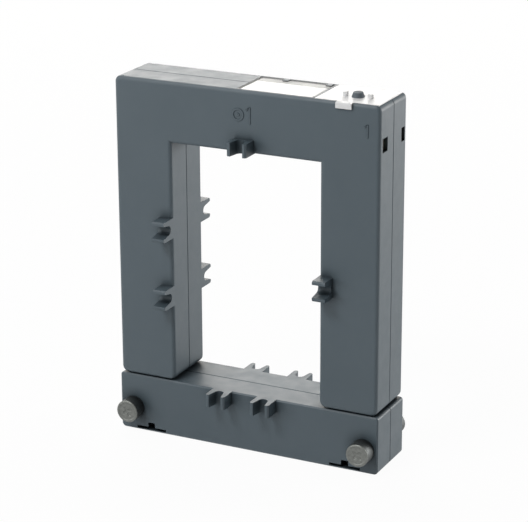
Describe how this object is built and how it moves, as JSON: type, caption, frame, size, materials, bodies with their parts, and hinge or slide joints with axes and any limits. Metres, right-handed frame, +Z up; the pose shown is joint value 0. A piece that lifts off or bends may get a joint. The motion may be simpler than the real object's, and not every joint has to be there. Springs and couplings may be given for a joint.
{
  "type": "split-core current transformer",
  "caption": "Split-core current transformer with a rectangular busbar window, removable yoke, clip sockets round the window and sealable terminal cover.",
  "frame": {"origin": "centre of the underside, midway across the width and the thickness over the clips and screws", "axes": "+X to the right seen from the front, +Y to the rear through the conductor window, +Z up; the front is the face with the cover's tab"},
  "size_m": [0.1466, 0.05, 0.1923],
  "materials": {
    "housing": "slate blue-grey moulded plastic, fine matt grain",
    "core_steel": "strip-wound silicon steel, ground pole faces",
    "bobbin_plastic": "natural glass-filled nylon",
    "winding": null,
    "spring_steel": "blank spring steel strip",
    "lock_metal": "dark grey coated steel",
    "clamp_brass": "tinned brass, satin",
    "clamp_screw_steel": "zinc plated",
    "lead_insulation": "black insulation",
    "clear_cover": "milky translucent, smooth",
    "seal_plastic": "slate grey moulded plastic",
    "label": "white printed film on a thin plate"
  },
  "bodies": {
    "root": {"upper_front_shell": "housing", "upper_rear_shell": "housing", "yoke_front_shell": "housing", "yoke_rear_shell": "housing", "u_core": "core_steel", "yoke_core": "core_steel", "bobbin_left": "bobbin_plastic", "bobbin_right": "bobbin_plastic", "terminal_carrier": "bobbin_plastic", "coil_left": "winding", "coil_right": "winding", "yoke_spring": "spring_steel", "locking_screw_left": "lock_metal", "locking_screw_right": "lock_metal", "locking_nut_left": "lock_metal", "locking_nut_right": "lock_metal", "clamp_s1": "clamp_brass", "clamp_s2": "clamp_brass", "clamp_screw_s1": "clamp_screw_steel", "clamp_screw_s2": "clamp_screw_steel", "series_lead": "lead_insulation", "lead_s1": "lead_insulation", "lead_s2": "lead_insulation", "terminal_cover": "clear_cover", "seal_screw": "seal_plastic", "label_plate": "label"}
  },
  "joints": []
}
